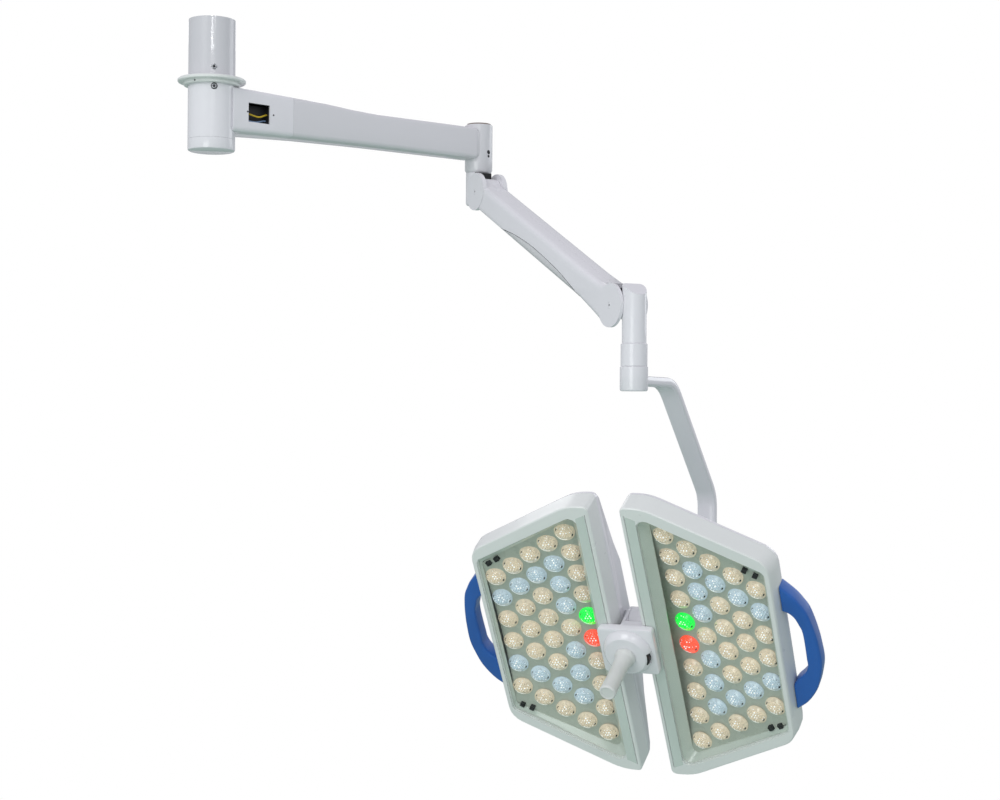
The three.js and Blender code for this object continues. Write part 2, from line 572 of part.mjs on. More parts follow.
function headCentre() {
  const group = new THREE.Group();
  const spineOuter = [
    rodAlongX(SPINE.radius, -SPINE.halfLength, SPINE.halfLength),
    rodAlongX(25, -28.6, -22.2), rodAlongX(25, 22.2, 28.6),
  ];
  group.add(mesh('spine_tube', cut(join(...spineOuter), rodAlongX(SPINE.bore, -60, 60)), steel));

  const plateOutline = roundedOutline(rectangle(-PLATE.halfX, PLATE.halfX, -PLATE.halfY, PLATE.halfY), 7, 4);
  const housing = cut(
    join(
      prism(plateOutline, PLATE.back, PLATE.front, 3),
      box(-21.6, 21.6, -30, 30, 0, PLATE.back + 4),
      rodAlongX(30, -21.6, 21.6),
    ),
    box(-16.4, 16.4, -60, 60, -60, 34),
    rodAlongX(SPINE.radius + 0.3, -30, 30),
    rod(12, 36, 90),
  );
  group.add(mesh('centre_housing', housing, whitePaint));

  const dome = cut(
    turned([
      [9.4, PLATE.front + GAP], [MOUNT.baseRadius, PLATE.front + GAP], [MOUNT.baseRadius - 0.6, PLATE.front + 4],
      [MOUNT.baseRadius - 3, PLATE.front + 8], [MOUNT.faceRadius + 1.5, MOUNT.front - 2.2],
      [MOUNT.faceRadius - 1, MOUNT.front], [9.4, MOUNT.front],
    ], 0, 0, 32),
    box(BUTTON.x0 - 4, 60, BUTTON.y0 - GAP, BUTTON.y1 + GAP, BUTTON.z0 - GAP, BUTTON.z1 + GAP),
  );
  group.add(mesh('handle_mount', dome, whitePaint));
  group.add(mesh('handle_core', ring(9.1, 4, PLATE.back - 12, 186, 0, 0, 24), aluminium));
  return group;
}

function releaseButton() {
  const { x0, x1, y0, y1, z0, z1 } = BUTTON;
  const outline = [
    [x0, y0], [x1 - 5, y0], [x1 - 1.5, y0 + 5], [x1, (y0 + y1) / 2], [x1 - 1.5, y1 - 5], [x1 - 5, y1], [x0, y1],
  ];
  return mesh('release_button', prism(outline.map(([x, y]) => new THREE.Vector2(x, y)), z0, z1), blackPlastic);
}

function sterileHandle() {
  const face = MOUNT.front + GAP;
  return mesh('sterile_handle', turned([
    [9.5, face], [19, face], [19, face + 4], [17.4, face + 8], [15.4, face + 11], [14.2, face + 40], [14, 170],
    [14.6, 188], [15, 192], [15, 199], [13.6, 201], [0, 201], [0, 190], [9.5, 190],
  ]), handleWhite);
}

// ---------------------------------------------------------------- lamp modules
// Corners of a module's outline, inset from its inner, sloping and outer sides.
function moduleCorners(side, insetInner, insetSlope, insetOuter) {
  const [inner, outer] = [MODULE.inner + insetInner, MODULE.outer - insetOuter];
  const lift = insetSlope * Math.hypot(1, SLOPE);
  const height = (x) => MODULE.innerHalf - SLOPE * (x - MODULE.inner) - lift;
  return [[inner, height(inner)], [outer, height(outer)], [outer, -height(outer)], [inner, -height(inner)]]
    .map(([x, y]) => [side * x, y]);
}

const atHeight = (points, z) => points.map((p) => new THREE.Vector3(p.x, p.y, z));

// The rim of a module: a flat end beside the spine, a soft shoulder, then the sloping and the outer side.
// Half outlines list the end's half length, the shoulder's place and the outer corner.
function rimOutline(side, inner, [endHalf, shoulder, outer, outerHalf], inset = 0) {
  const half = [
    [inner, endHalf, RIM_RADII.end - inset], [shoulder, endHalf, RIM_RADII.shoulder - inset],
    [outer, outerHalf, RIM_RADII.outer - inset],
  ];
  const mirrored = half.map(([x, y, radius]) => [x, -y, radius]).reverse();
  return roundedOutline([...half, ...mirrored].map(([x, y, radius]) => [side * x, y, radius]), 0);
}

// The rim's outline at the front, moved in (or out) on its sloping and outer sides.
function frontOutline(side, insetInner, insetSlope, insetOuter) {
  const [[inner, innerHalf], [outer, outerHalf]] = moduleCorners(1, insetInner, insetSlope, insetOuter);
  const endHalf = MODULE.endHalf - insetSlope;
  const shoulder = inner + (innerHalf - endHalf) / SLOPE;
  return rimOutline(side, inner, [endHalf, shoulder, outer, outerHalf], Math.max(insetSlope, 0));
}

// Back shell stations: height, then the half outline there.
const SHELL_STATIONS = [
  [21.7, 292, 69, 281, 186], [14, 290, 68, 279, 184], [8, 281, 66, 271, 179], [-12, 178, 60, 236, 138],
  [-26, 130, 56, 214, 110],
];

function shellSkin(side, inset) {
  return skin(SHELL_STATIONS.map(([z, endHalf, shoulder, outer, outerHalf], i) => {
    const half = [endHalf - 1.2 * inset, shoulder, outer - inset, outerHalf - 0.8 * inset];
    const raised = inset > 0 && i === 0 ? z + 5 : z;
    const floor = inset > 0 && i === SHELL_STATIONS.length - 1 ? z + inset : raised;
    return atHeight(rimOutline(side, MODULE.inner + inset, half, inset), floor);
  }));
}

const dishHeight = (x, y) => DISH.base + DISH.slope * Math.abs(x) + (y * y) / (2 * DISH.radius);

// Centres of the lenses: five columns that gain one lens each toward the spine.
function lensCentres(side) {
  return Array.from({ length: LENS.columns }, (_, column) => {
    const count = LENS.innerColumnCount - column;
    return Array.from({ length: count }, (_, row) => [
      side * (LENS.firstColumn + column * LENS.columnStep), (row - (count - 1) / 2) * LENS.pitch,
    ]);
  }).flat();
}

function lensPlate(side) {
  const stations = 12;
  const innerHalf = 262;
  const slab = skin(Array.from({ length: stations + 1 }, (_, k) => {
    const y = -innerHalf + (2 * innerHalf * k) / stations;
    const reach = Math.min(262, MODULE.inner + (MODULE.innerHalf - 34 - Math.abs(y)) / SLOPE);
    const [near, far] = [59, Math.max(reach, 70)];
    const point = (x, drop) => new THREE.Vector3(side * x, y, dishHeight(x, y) - drop);
    return [point(near, DISH.thickness), point(far, DISH.thickness), point(far, 0), point(near, 0)];
  }));
  const lenses = lensCentres(side).map(([x, y]) => {
    const dome = new THREE.CylinderGeometry(LENS.radius - 4, LENS.radius, 11, 6).rotateX(Math.PI / 2);
    const tilted = dome.translate(0, 0, 4.5).rotateY(-side * Math.atan(DISH.slope));
    return solid(tilted.translate(x, y, dishHeight(x, y)));
  });
  return join(slab, ...lenses);
}

function heatSink(side) {
  const span = (a, b) => (side > 0 ? [a, b] : [-b, -a]);
  const base = box(...span(62, 186), -90, 90, -21.5, -17.5);
  const fins = Array.from({ length: 9 }, (_, k) => box(...span(66 + 14 * k, 68.5 + 14 * k), -88, 88, -18, -8));
  return join(base, ...fins);
}

// A grip's outer and inner curve, from the top end to the bottom end.
const GRIP_OUTER = [
  [281.3, 128], [293, 117], [305, 104], [314, 90], [322, 75], [328, 52], [332, 29], [334.5, 7], [336, -30], [331, -58],
  [321, -88], [302, -116], [281.3, -133],
];
const GRIP_INNER = [
  [281.3, 76], [291, 71.5], [299.5, 62], [305, 48], [308.6, 37], [310, 17], [310, -23], [310, -37], [305, -51], [297, -61],
  [288, -70], [281.3, -79],
];

function gripHandle(side) {
  const curve = (points) => new THREE.SplineCurve(points.map(([x, y]) => new THREE.Vector2(side * x, y))).getPoints(20);
  return prism([...curve(GRIP_OUTER), ...curve(GRIP_INNER).reverse()], 15, 45, 4);
}

// The frame around a module's opening: a deep hollow rim that widens toward the housing, under a flat front flange.
function bezelFrame(side) {
  const { split, flange, front, flare, wall } = MODULE;
  const ringAt = (z, ...insets) => atHeight(frontOutline(side, ...insets), z);
  const rim = skin([
    ringAt(split, 0, 0, -flare), ringAt(40, 0, 0, -flare), ringAt(flange, 0, 0, -1), ringAt(front - 2, 0, 0, 0),
    ringAt(front, 2, 2, 2),
  ]);
  const hollow = skin([
    ringAt(split - 1, wall, wall, wall - flare), ringAt(40, wall, wall, wall - flare), ringAt(flange, wall, wall, wall - 1),
  ]);
  return cut(rim, hollow);
}

function lampModule(side, name) {
  const group = new THREE.Group();
  const opening = roundedOutline(moduleCorners(side, 26, 23, 10), 14);
  const paneSeat = roundedOutline(moduleCorners(side, 24, 21, 8), 16);
  const paneEdge = roundedOutline(moduleCorners(side, 24.4, 21.4, 8.4), 16);
  const groove = side > 0 ? [35.2, 36.6] : [-36.6, -35.2];

  const spineHole = rodAlongX(SPINE.radius + 0.4, Math.min(0, side * 60), Math.max(0, side * 60));
  const shell = cut(shellSkin(side, 0), shellSkin(side, MODULE.wall), spineHole);
  group.add(mesh(`${name}_housing`, shell, whitePaint));

  const bezel = cut(
    bezelFrame(side),
    prism(opening, MODULE.flange - 1, MODULE.front + 1),
    prism(paneSeat, MODULE.front - 3.4, MODULE.front + 5),
    box(...groove, -276, 276, MODULE.front - 3, MODULE.front + 1),
  );
  const sideBlock = (grow) => {
    const [x0, x1] = side > 0 ? [262, 290] : [-290, -262];
    return box(x0, x1, -135 - grow, 135 + grow, MODULE.flange - grow, MODULE.front + 5);
  };
  group.add(mesh(`${name}_bezel`, cut(bezel, sideBlock(GAP)), bezelWhite));
  group.add(mesh(`${name}_side_trim`, bezel.intersect(sideBlock(0)), bezelWhite));
  group.add(mesh(`${name}_pane`, prism(paneEdge, MODULE.front - 3.1, MODULE.front - 0.3), clearPane));
  group.add(mesh(`${name}_lens_plate`, lensPlate(side), lensClear));
  group.add(mesh(`${name}_heat_sink`, heatSink(side), aluminium));
  group.add(mesh(`${name}_grip`, gripHandle(side), bluePlastic));
  return group;
}

// ---------------------------------------------------------------- assembly at rest
const group = new THREE.Group();
group.add(ceilingEnd(), horizontalArm());

const elbow = placed(rootKnuckle(), { x: ARM.length }, { z: rad(REST.elbow) });
const rootPivot = { x: KNUCKLE.reach, z: KNUCKLE.pivotZ };
elbow.add(placed(springArm(), rootPivot, { y: rad(REST.pitch) }));
elbow.add(placed(levellingRod(), { x: rootPivot.x, z: rootPivot.z + LINK_OFFSET }, { y: rad(REST.pitch) }));
const farPivot = {
  x: rootPivot.x + SPRING_ARM.length * Math.cos(rad(REST.pitch)),
  z: rootPivot.z - SPRING_ARM.length * Math.sin(rad(REST.pitch)),
};
elbow.add(placed(endKnuckle(farPivot.z), farPivot));
group.add(elbow);

const headReach = farPivot.x + KNUCKLE.reach;
const yokeGroup = placed(yoke(), {
  x: ARM.length + headReach * Math.cos(rad(REST.elbow)),
  y: headReach * Math.sin(rad(REST.elbow)),
}, { z: rad(REST.yoke) });
const head = placed(headCentre(), { y: TILT_PIVOT.back, z: TILT_PIVOT.z }, { x: rad(90 + REST.tilt) });
head.add(releaseButton(), sterileHandle(), lampModule(-1, 'left'), lampModule(1, 'right'));
yokeGroup.add(head);
group.add(yokeGroup);

export default group;
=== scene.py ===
"""Looks of the ceiling-held surgical light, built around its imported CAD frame.

Lengths are millimetres unless a name says otherwise.
"""
import json
import math
import random

import bpy
from mathutils import Matrix, Vector


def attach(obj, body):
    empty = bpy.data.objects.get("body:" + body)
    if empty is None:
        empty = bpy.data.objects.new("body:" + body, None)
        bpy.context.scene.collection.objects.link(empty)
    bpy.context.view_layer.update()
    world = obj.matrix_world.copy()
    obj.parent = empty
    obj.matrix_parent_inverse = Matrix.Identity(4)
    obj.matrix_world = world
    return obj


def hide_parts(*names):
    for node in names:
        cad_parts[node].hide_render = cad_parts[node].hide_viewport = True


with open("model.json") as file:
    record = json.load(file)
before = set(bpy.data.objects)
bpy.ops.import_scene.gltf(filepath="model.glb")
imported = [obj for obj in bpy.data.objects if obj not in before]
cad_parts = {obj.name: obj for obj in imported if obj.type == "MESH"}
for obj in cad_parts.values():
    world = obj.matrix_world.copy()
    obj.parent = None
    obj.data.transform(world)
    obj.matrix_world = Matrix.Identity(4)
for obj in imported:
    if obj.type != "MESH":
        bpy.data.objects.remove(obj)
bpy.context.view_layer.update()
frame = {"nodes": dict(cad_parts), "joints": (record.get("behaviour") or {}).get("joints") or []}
MM = 0.001

# ---------------------------------------------------------------- camera: place, heading, pitch and roll of the photo
camera_data = bpy.data.cameras.new("camera")
camera_data.sensor_width = 36
camera_data.lens = 61.37
camera_data.clip_end = 100
camera = bpy.data.objects.new("camera", camera_data)
bpy.context.scene.collection.objects.link(camera)
camera.matrix_world = (
    Matrix.Translation((-1.5190, -2.8920, -0.7385))
    @ Matrix.Rotation(math.radians(-37.39), 4, "Z")
    @ Matrix.Rotation(math.radians(90.4355), 4, "X")
    @ Matrix.Rotation(math.radians(0.392), 4, "Z")
)
bpy.context.scene.camera = camera

# ---------------------------------------------------------------- local frames of the moving groups
joints = {j["name"]: j for j in frame["joints"]}


def local_frame(origin_m, x_axis, z_axis):
    """Matrix from millimetres in a local frame to metres in the part frame."""
    x, z = Vector(x_axis).normalized(), Vector(z_axis).normalized()
    y = z.cross(x)
    columns = Matrix((x, y, z)).transposed().to_4x4()
    return Matrix.Translation(origin_m) @ columns @ Matrix.Scale(MM, 4)


HEAD = local_frame(joints["head_tilt"]["pos_m"], joints["head_tilt"]["axis"], joints["handle_pull_off"]["axis"])
PART = Matrix.Scale(MM, 4)
elbow_pos = joints["elbow_yaw"]["pos_m"]
pitch_pos, pitch_axis = joints["spring_arm_pitch"]["pos_m"], Vector(joints["spring_arm_pitch"]["axis"])
far_pos = Vector(joints["end_levelling"]["pos_m"])
arm_direction = (far_pos - Vector(pitch_pos)).normalized()
SPRING_ARM = local_frame(pitch_pos, arm_direction, pitch_axis.cross(arm_direction))
ELBOW = local_frame((elbow_pos[0], elbow_pos[1], 0), (arm_direction.x, arm_direction.y, 0), (0, 0, 1))


# ---------------------------------------------------------------- materials
class Nodes:
    """A small wrapper that keeps node trees readable."""

    def __init__(self, name):
        self.material = bpy.data.materials.new(name)
        self.material.use_nodes = True
        self.tree = self.material.node_tree
        self.tree.nodes.clear()
        self.output = self.add("ShaderNodeOutputMaterial")

    def add(self, kind, **values):
        node = self.tree.nodes.new(kind)
        for key, value in values.items():
            setattr(node, key, value)
        return node

    def link(self, source, target):
        self.tree.links.new(source, target)

    def noise(self, scale, detail=3.0, stretch=(1, 1, 1), roughness=0.5):
        place = self.add("ShaderNodeTexCoord")
        mapping = self.add("ShaderNodeMapping")
        mapping.inputs["Scale"].default_value = stretch
        texture = self.add("ShaderNodeTexNoise")
        texture.inputs["Scale"].default_value = scale
        texture.inputs["Detail"].default_value = detail
        texture.inputs["Roughness"].default_value = roughness
        self.link(place.outputs["Object"], mapping.inputs["Vector"])
        self.link(mapping.outputs["Vector"], texture.inputs["Vector"])
        return texture.outputs["Fac"]

    def ramp(self, value, low, high, span=(0.3, 0.7)):
        node = self.add("ShaderNodeValToRGB")
        node.color_ramp.elements[0].position = span[0]
        node.color_ramp.elements[0].color = (*low, 1)
        node.color_ramp.elements[1].position = span[1]
        node.color_ramp.elements[1].color = (*high, 1)
        self.link(value, node.inputs["Fac"])
        return node.outputs["Color"]

    def map_range(self, value, low, high, span=(0.3, 0.7)):
        node = self.add("ShaderNodeMapRange")
        for socket, number in zip(("From Min", "From Max", "To Min", "To Max"), (*span, low, high)):
            node.inputs[socket].default_value = number
        self.link(value, node.inputs["Value"])
        return node.outputs["Result"]

    def bump(self, value, strength, distance):
        node = self.add("ShaderNodeBump")
        node.inputs["Strength"].default_value = strength
        node.inputs["Distance"].default_value = distance
        self.link(value, node.inputs["Height"])
        return node.outputs["Normal"]


GRAIN_HEIGHT_M = 0.00002


def tinted(color, factor):
    return tuple(min(1.0, max(0.0, c * factor)) for c in color)


def surface(name, color, roughness, metallic=0.0, coat=0.0, variation=0.04, patch=9.0, grain=700.0,
            grain_strength=0.25, rough_spread=0.06, stretch=(1, 1, 1), glow=None, coat_roughness=0.06):
    """A Principled surface with patchy colour, patchy roughness and a fine grain."""
    nodes = Nodes(name)
    shader = nodes.add("ShaderNodeBsdfPrincipled")
    shader.inputs["Metallic"].default_value = metallic
    shader.inputs["IOR"].default_value = 1.5
    shader.inputs["Coat Weight"].default_value = coat
    shader.inputs["Coat Roughness"].default_value = coat_roughness
    low, high = tinted(color, 1 - variation), tinted(color, 1 + variation)
    nodes.link(nodes.ramp(nodes.noise(patch, 4), low, high), shader.inputs["Base Color"])
    rough = nodes.map_range(nodes.noise(patch * 4, 5), roughness - rough_spread, roughness + rough_spread)
    nodes.link(rough, shader.inputs["Roughness"])
    fine = nodes.noise(grain, 2, stretch)
    nodes.link(nodes.bump(fine, grain_strength, GRAIN_HEIGHT_M), shader.inputs["Normal"])
    if glow:
        shader.inputs["Emission Color"].default_value = (*glow[0], 1)
        shader.inputs["Emission Strength"].default_value = glow[1]
    nodes.link(shader.outputs["BSDF"], nodes.output.inputs["Surface"])
    return nodes.material


def clear_cover(name, tint, roughness):
    """A thin clear pane: it lets light through and reflects more at a glancing angle."""
    nodes = Nodes(name)
    through = nodes.add("ShaderNodeBsdfTransparent")
    nodes.link(nodes.ramp(nodes.noise(6, 3), tinted(tint, 0.985), tint), through.inputs["Color"])
    gloss = nodes.add("ShaderNodeBsdfGlossy")
    nodes.link(nodes.map_range(nodes.noise(40, 4), roughness, roughness * 2.4), gloss.inputs["Roughness"])
    nodes.link(nodes.bump(nodes.noise(25, 2), 0.05, 0.0004), gloss.inputs["Normal"])
    edge = nodes.add("ShaderNodeFresnel")
    edge.inputs["IOR"].default_value = 1.45
    side = nodes.add("ShaderNodeNewGeometry")
    front_only = nodes.add("ShaderNodeMath", operation="MULTIPLY_ADD")
    nodes.link(side.outputs["Backfacing"], front_only.inputs[0])
    front_only.inputs[1].default_value = -1.0
    front_only.inputs[2].default_value = 1.0
    share = nodes.add("ShaderNodeMath", operation="MULTIPLY")
    nodes.link(edge.outputs["Fac"], share.inputs[0])
    nodes.link(front_only.outputs["Value"], share.inputs[1])
    mix = nodes.add("ShaderNodeMixShader")
    nodes.link(share.outputs["Value"], mix.inputs["Fac"])
    nodes.link(through.outputs["BSDF"], mix.inputs[1])
    nodes.link(gloss.outputs["BSDF"], mix.inputs[2])
    nodes.link(mix.outputs["Shader"], nodes.output.inputs["Surface"])
    return nodes.material


# The finishes of the CAD's own slots, by slot name.
materials = {
    "white_paint": surface("white_paint", (0.80, 0.79, 0.83), 0.22, coat=0.6, variation=0.012, patch=4, grain=260,
                           grain_strength=0.02, rough_spread=0.02),
    "white_plastic": surface("white_plastic", (0.77, 0.79, 0.78), 0.30, coat=0.2, variation=0.015, patch=5, grain=600,
                             grain_strength=0.05, rough_spread=0.03),
    "steel": surface("steel", (0.56, 0.57, 0.59), 0.30, 1, variation=0.10, patch=30, grain=300, grain_strength=0.35,
                     stretch=(1, 1, 9)),
    "dark_steel": surface("dark_steel", (0.030, 0.031, 0.034), 0.42, 0.7, variation=0.25, patch=60, grain=900),
    "bronze": surface("bronze", (0.50, 0.36, 0.19), 0.42, 1, variation=0.12, patch=40, grain=1100),
    "aluminium": surface("aluminium", (0.66, 0.67, 0.69), 0.38, 1, variation=0.08, patch=30, grain=500,
                         stretch=(1, 8, 1)),
    "black_plastic": surface("black_plastic", (0.010, 0.010, 0.012), 0.38, variation=0.3, patch=50, grain=1400,
                             grain_strength=0.4),
    "brown_plastic": surface("brown_plastic", (0.22, 0.17, 0.15), 0.55, variation=0.15, patch=40, grain=1200,
                             grain_strength=0.4),
    "blue_plastic": surface("blue_plastic", (0.012, 0.110, 0.44), 0.34, coat=0.25, variation=0.10, patch=14, grain=1000,
                            grain_strength=0.35, coat_roughness=0.2),
    "handle_plastic": surface("handle_plastic", (0.70, 0.71, 0.70), 0.42, coat=0.1, variation=0.03, patch=20, grain=900,
                              grain_strength=0.3, coat_roughness=0.3),
    "clear_pane": clear_cover("clear_pane", (0.985, 0.995, 0.988), 0.02),
    "yellow_jacket": surface("yellow_jacket", (0.72, 0.50, 0.03), 0.45, variation=0.12, patch=60, grain=1200),
    "blue_jacket": surface("blue_jacket", (0.25, 0.38, 0.60), 0.45, variation=0.12, patch=60, grain=1200),
}
# Finishes of single pieces.
# The next three are darker copies of the white paint for the drop tube, the horizontal arm and the spring arm's lower
# cover: painted shade, not a different paint.
tube_shaded_paint = surface("tube_paint_with_painted_shade", (0.63, 0.625, 0.66), 0.24, coat=0.5, variation=0.012, patch=4, grain=260,
                      grain_strength=0.02, rough_spread=0.02)
arm_shaded_paint = surface("arm_paint_with_painted_shade", (0.715, 0.705, 0.74), 0.22, coat=0.6, variation=0.012, patch=4, grain=260,
                     grain_strength=0.02, rough_spread=0.02)
cover_shaded_paint = surface("cover_paint_with_painted_shade", (0.66, 0.66, 0.68), 0.26, coat=0.5, variation=0.012, patch=5, grain=260,
                       grain_strength=0.02, rough_spread=0.02)
board_finish = surface("lens_board", (0.50, 0.53, 0.47), 0.28, coat=0.35, variation=0.05, patch=12, grain=800,
                       grain_strength=0.2, coat_roughness=0.15)
well_finish = surface("well_wall", (0.62, 0.67, 0.62), 0.14, coat=0.8, variation=0.04, patch=14, grain=700,
                      grain_strength=0.1, coat_roughness=0.05)
# Glowing white finish for the painted glints and the painted highlight arc on the lenses.
glint_glow_finish = surface("lens_facets", (0.95, 0.95, 0.96), 0.06, coat=1.0, variation=0.04, patch=200, grain=600,
                       grain_strength=0.1, glow=((1.0, 1.0, 1.0), 0.45), coat_roughness=0.02)
strip_finish = surface("inner_strip", (0.60, 0.67, 0.63), 0.12, coat=0.8, variation=0.05, patch=7, grain=500,
                       grain_strength=0.06, coat_roughness=0.04)
sensor_finish = surface("sensor_window", (0.006, 0.006, 0.008), 0.75, variation=0.3, patch=50, grain=900,
                        grain_strength=0.1)
worn_steel = surface("worn_steel", (0.34, 0.35, 0.37), 0.36, 1, variation=0.12, patch=60, grain=700, rough_spread=0.05)
lens_finishes = {
    "warm": surface("lens_warm", (0.84, 0.69, 0.53), 0.10, coat=1.0, variation=0.14, patch=160, grain=500,
                    grain_strength=0.25, glow=((1.0, 0.88, 0.68), 0.12), coat_roughness=0.03),
    "cool": surface("lens_cool", (0.60, 0.70, 0.80), 0.10, coat=1.0, variation=0.12, patch=160, grain=500,
                    grain_strength=0.25, glow=((0.72, 0.88, 1.0), 0.12), coat_roughness=0.03),
    "green": surface("lens_green", (0.0, 0.55, 0.06), 0.13, coat=1.0, variation=0.15, patch=160, grain=500,
                     glow=((0.0, 1.0, 0.06), 0.8), coat_roughness=0.03),
    "red": surface("lens_red", (0.75, 0.06, 0.03), 0.13, coat=1.0, variation=0.15, patch=160, grain=500,
                   glow=((1.0, 0.09, 0.045), 0.8), coat_roughness=0.03),
}


# ---------------------------------------------------------------- mesh building
SHARP_ANGLE = 32


class Shape:
    """Collects closed parts in a local frame, in millimetres."""

    def __init__(self, to_part):
        self.to_part = to_part
        self.points, self.faces = [], []

    def add(self, points, faces, place=None):
        start = len(self.points)
        place = self.to_part @ place if place is not None else self.to_part
        self.points += [place @ Vector(p) for p in points]
        self.faces += [tuple(start + i for i in face) for face in faces]
        return self

    def loft(self, rings, place=None, caps=True):
        count = len(rings[0])
        faces = []
        for r in range(len(rings) - 1):
            for i in range(count):
                j = (i + 1) % count
                faces.append((r * count + i, r * count + j, (r + 1) * count + j, (r + 1) * count + i))
        if caps:
            faces.append(tuple(reversed(range(count))))
            last = (len(rings) - 1) * count
            faces.append(tuple(range(last, last + count)))
        return self.add([p for ring in rings for p in ring], faces, place)

    def lathe(self, profile, segments=32, place=None):
        """Turns (radius, height) pairs about Z; a radius of 0 closes to a point, otherwise the ends meet each other."""
        points, rows = [], []
        for radius, height in profile:
            rows.append(len(points))
            if radius == 0:
                points.append((0, 0, height))
                continue
            for k in range(segments):
                angle = 2 * math.pi * k / segments
                points.append((radius * math.cos(angle), radius * math.sin(angle), height))
        faces = []
        pairs = list(zip(range(len(profile) - 1), range(1, len(profile))))
        if profile[0][0] and profile[-1][0]:
            pairs.append((len(profile) - 1, 0))
        for a, b in pairs:
            for k in range(segments):
                j = (k + 1) % segments
                if profile[a][0] == 0 and profile[b][0] == 0:
                    continue
                if profile[a][0] == 0:
                    faces.append((rows[a], rows[b] + j, rows[b] + k))
                elif profile[b][0] == 0:
                    faces.append((rows[a] + k, rows[a] + j, rows[b]))
                else:
                    faces.append((rows[a] + k, rows[a] + j, rows[b] + j, rows[b] + k))
        return self.add(points, faces, place)

    def block(self, low, high, place=None):
        (x0, y0, z0), (x1, y1, z1) = low, high
        rings = [[(x0, y0, z), (x1, y0, z), (x1, y1, z), (x0, y1, z)] for z in (z0, z1)]
        return self.loft(rings, place)

    def piece(self, name, material, body, slot, replaces=(), bevel=0.0, sharp=SHARP_ANGLE):
        """Makes the object, rides it on its body and hides the CAD nodes that it stands in for. The slot argument is
        not used.
        """
        mesh = bpy.data.meshes.new(name)
        mesh.from_pydata([tuple(p) for p in self.points], [], self.faces)
        mesh.validate()
        mesh.materials.append(material)
        mesh.polygons.foreach_set("use_smooth", [True] * len(mesh.polygons))
        obj = bpy.data.objects.new(name, mesh)
        bpy.context.scene.collection.objects.link(obj)
        if bevel:
            modifier = obj.modifiers.new("soft_edges", "BEVEL")
            modifier.width = bevel * MM
            modifier.segments = 3
            modifier.limit_method = "ANGLE"
            modifier.angle_limit = math.radians(30)
        shading = obj.modifiers.new("shading", "NODES")
        shading.node_group = shade_by_angle(sharp)
        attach(obj, body)
        if replaces:
            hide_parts(*replaces)


shade_groups = {}


def shade_by_angle(degrees):
    """A modifier group that joins doubled points, shades smooth and keeps the edges above an angle sharp."""
    if degrees in shade_groups:
        return shade_groups[degrees]
    group = bpy.data.node_groups.new(f"shade_by_angle_{degrees}", "GeometryNodeTree")
    group.interface.new_socket("Geometry", in_out="INPUT", socket_type="NodeSocketGeometry")
    group.interface.new_socket("Geometry", in_out="OUTPUT", socket_type="NodeSocketGeometry")
    source = group.nodes.new("NodeGroupInput")
    target = group.nodes.new("NodeGroupOutput")
    weld = group.nodes.new("GeometryNodeMergeByDistance")
    weld.inputs["Distance"].default_value = 2e-6
    smooth = group.nodes.new("GeometryNodeSetShadeSmooth")
    smooth.domain = "FACE"
    smooth.inputs["Shade Smooth"].default_value = True
    angle = group.nodes.new("GeometryNodeInputMeshEdgeAngle")
    compare = group.nodes.new("FunctionNodeCompare")
    compare.data_type = "FLOAT"
    compare.operation = "GREATER_THAN"
    compare.inputs[1].default_value = math.radians(degrees)
    sharp = group.nodes.new("GeometryNodeSetShadeSmooth")
    sharp.domain = "EDGE"
    sharp.inputs["Shade Smooth"].default_value = False
    for start, end in (
        (source.outputs[0], weld.inputs["Geometry"]),
        (weld.outputs["Geometry"], smooth.inputs["Geometry"]),
        (smooth.outputs["Geometry"], sharp.inputs["Geometry"]),
        (angle.outputs["Unsigned Angle"], compare.inputs[0]),
        (compare.outputs["Result"], sharp.inputs["Selection"]),
        (sharp.outputs["Geometry"], target.inputs[0]),
    ):
        group.links.new(start, end)
    shade_groups[degrees] = group
    return group


def rounded_outline(corners, radius, steps=8):
    """Points of a polygon whose corners are rounded by the radius."""
    points = []
    for i, corner in enumerate(corners):
        here = Vector(corner)
        before = (Vector(corners[i - 1]) - here).normalized()
        after = (Vector(corners[(i + 1) % len(corners)]) - here).normalized()
        half = math.acos(max(-1, min(1, before.dot(after)))) / 2
        centre = here + (before + after).normalized() * (radius / math.sin(half))
        start = here + before * (radius / math.tan(half)) - centre
        turn = (math.pi - 2 * half) * (1 if after.x * before.y - after.y * before.x > 0 else -1)
        for k in range(steps + 1):
            points.append(centre + Matrix.Rotation(turn * k / steps, 2) @ start)
    return [(p.x, p.y) for p in points]


def at(points, height):
    return [(x, y, height) for x, y in points]


def turned_axis(origin, direction):
    """Matrix that stands a Z-up shape on a point, along a direction, in the same local frame."""
    return Matrix.Translation(origin) @ Vector((0, 0, 1)).rotation_difference(Vector(direction)).to_matrix().to_4x4()


# ---------------------------------------------------------------- CAD nodes: better materials and shading
for node in frame["nodes"].values():
    custom = node.data.attributes.get("custom_normal")
    if custom:
        node.data.attributes.remove(custom)
    slot_name = node.data.materials[0].name.split(".")[0]
    node.data.materials[0] = materials.get(slot_name, board_finish)
    shading = node.modifiers.new("shading", "NODES")
    shading.node_group = shade_by_angle(SHARP_ANGLE)
# These parts get the darker copies of the white paint: painted shade.
for name, finish in (("spring_arm_lower_cover", cover_shaded_paint), ("horizontal_arm", arm_shaded_paint),
                     ("drop_tube", tube_shaded_paint)):
    frame["nodes"][name].data.materials[0] = finish

# ---------------------------------------------------------------- lamp modules
MODULE = {"inner": 29, "outer": 275, "inner_half": 312, "outer_half": 189}
SLOPE = (MODULE["inner_half"] - MODULE["outer_half"]) / (MODULE["outer"] - MODULE["inner"])
LENS = {"pitch": 50, "step": 38, "first": 91.5, "radius": 19.3}
DOME = {"edge": 17.6, "crown": 10.6, "rise": 8.0}
FACET_SPACING, FACET_REACH, FACET_JITTER = 4.9, 15.2, 0.5
